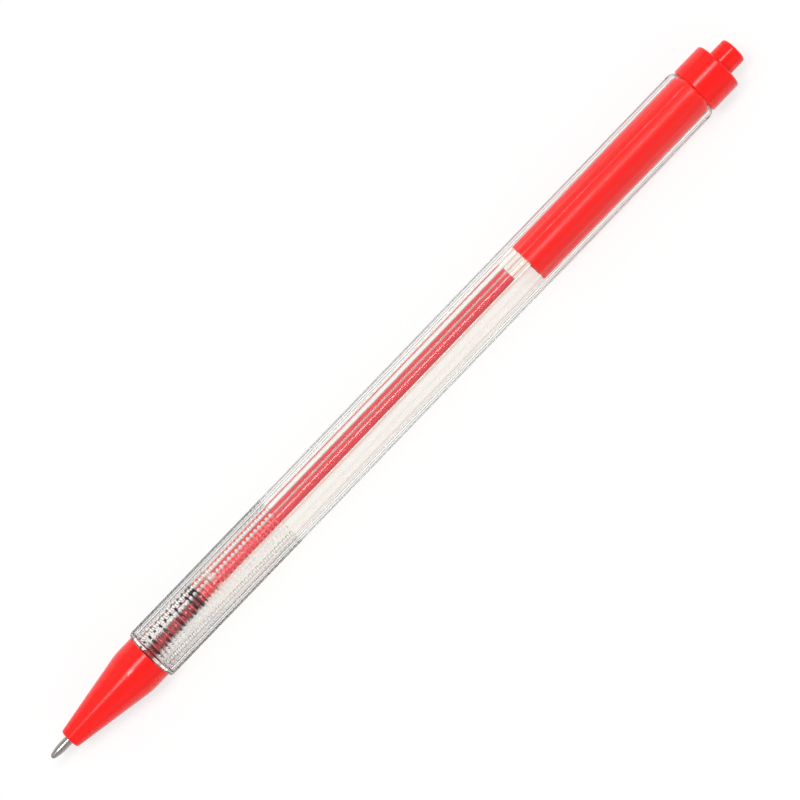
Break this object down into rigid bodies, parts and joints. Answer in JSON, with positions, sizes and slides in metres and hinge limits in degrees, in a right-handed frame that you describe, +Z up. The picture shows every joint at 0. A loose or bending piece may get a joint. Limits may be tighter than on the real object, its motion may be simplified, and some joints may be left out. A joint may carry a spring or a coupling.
{
  "type": "pushbutton ballpoint pen",
  "caption": "Retractable ballpoint pen: clear hexagonal barrel with ribbed grip, red nose cone and knock, spring and ink refill showing inside, lying on a flat, tip out.",
  "frame": {"origin": "on the surface that the pen lies on, under the middle of its overall length and of its width", "axes": "+X along the pen from the tip to the button, +Z up out of the barrel's upper wide flat, +Y across the pen"},
  "size_m": [0.143, 0.0086, 0.0082],
  "materials": {
    "clear_polystyrene": "clear, glossy, moulded",
    "red_abs": "glossy, opaque, moulded",
    "nickel_silver": "bright turned metal",
    "hard_ball": "ground and polished",
    "milky_polypropylene": "translucent, extruded or moulded",
    "red_ink": "wet, deep red",
    "spring_steel": "drawn wire, dark",
    "white_acetal": "satin, moulded"
  },
  "bodies": {
    "barrel_group": {"barrel": "clear_polystyrene", "nose_cone": "red_abs", "knock_sleeve": "red_abs", "return_spring": "spring_steel"},
    "refill_group": {"pen_tip": "nickel_silver", "tip_holder": "milky_polypropylene", "refill_tube": "milky_polypropylene", "ink_column": "red_ink", "cam_rotor": "white_acetal"},
    "ball": {"writing_ball": "hard_ball"},
    "button": {"knock_button": "red_abs"}
  },
  "joints": [
    {"name": "refill_slide", "type": "slide", "parent": "barrel_group", "child": "refill_group", "axis": [1, 0, 0], "range_m": [-0.0012, 0.0055], "deforming": ["return_spring"]},
    {"name": "button_slide", "type": "slide", "parent": "barrel_group", "child": "button", "axis": [1, 0, 0], "range_m": [-0.0012, 0.0055]},
    {"name": "ball_roll", "type": "hinge", "parent": "refill_group", "child": "ball", "pos_m": [-0.07115, 0, 0.00411], "axis": [0, 1, 0], "continuous": true}
  ],
  "couplings": [
    {"joint": "button_slide", "follows": "refill_slide", "ratio": 1}
  ]
}
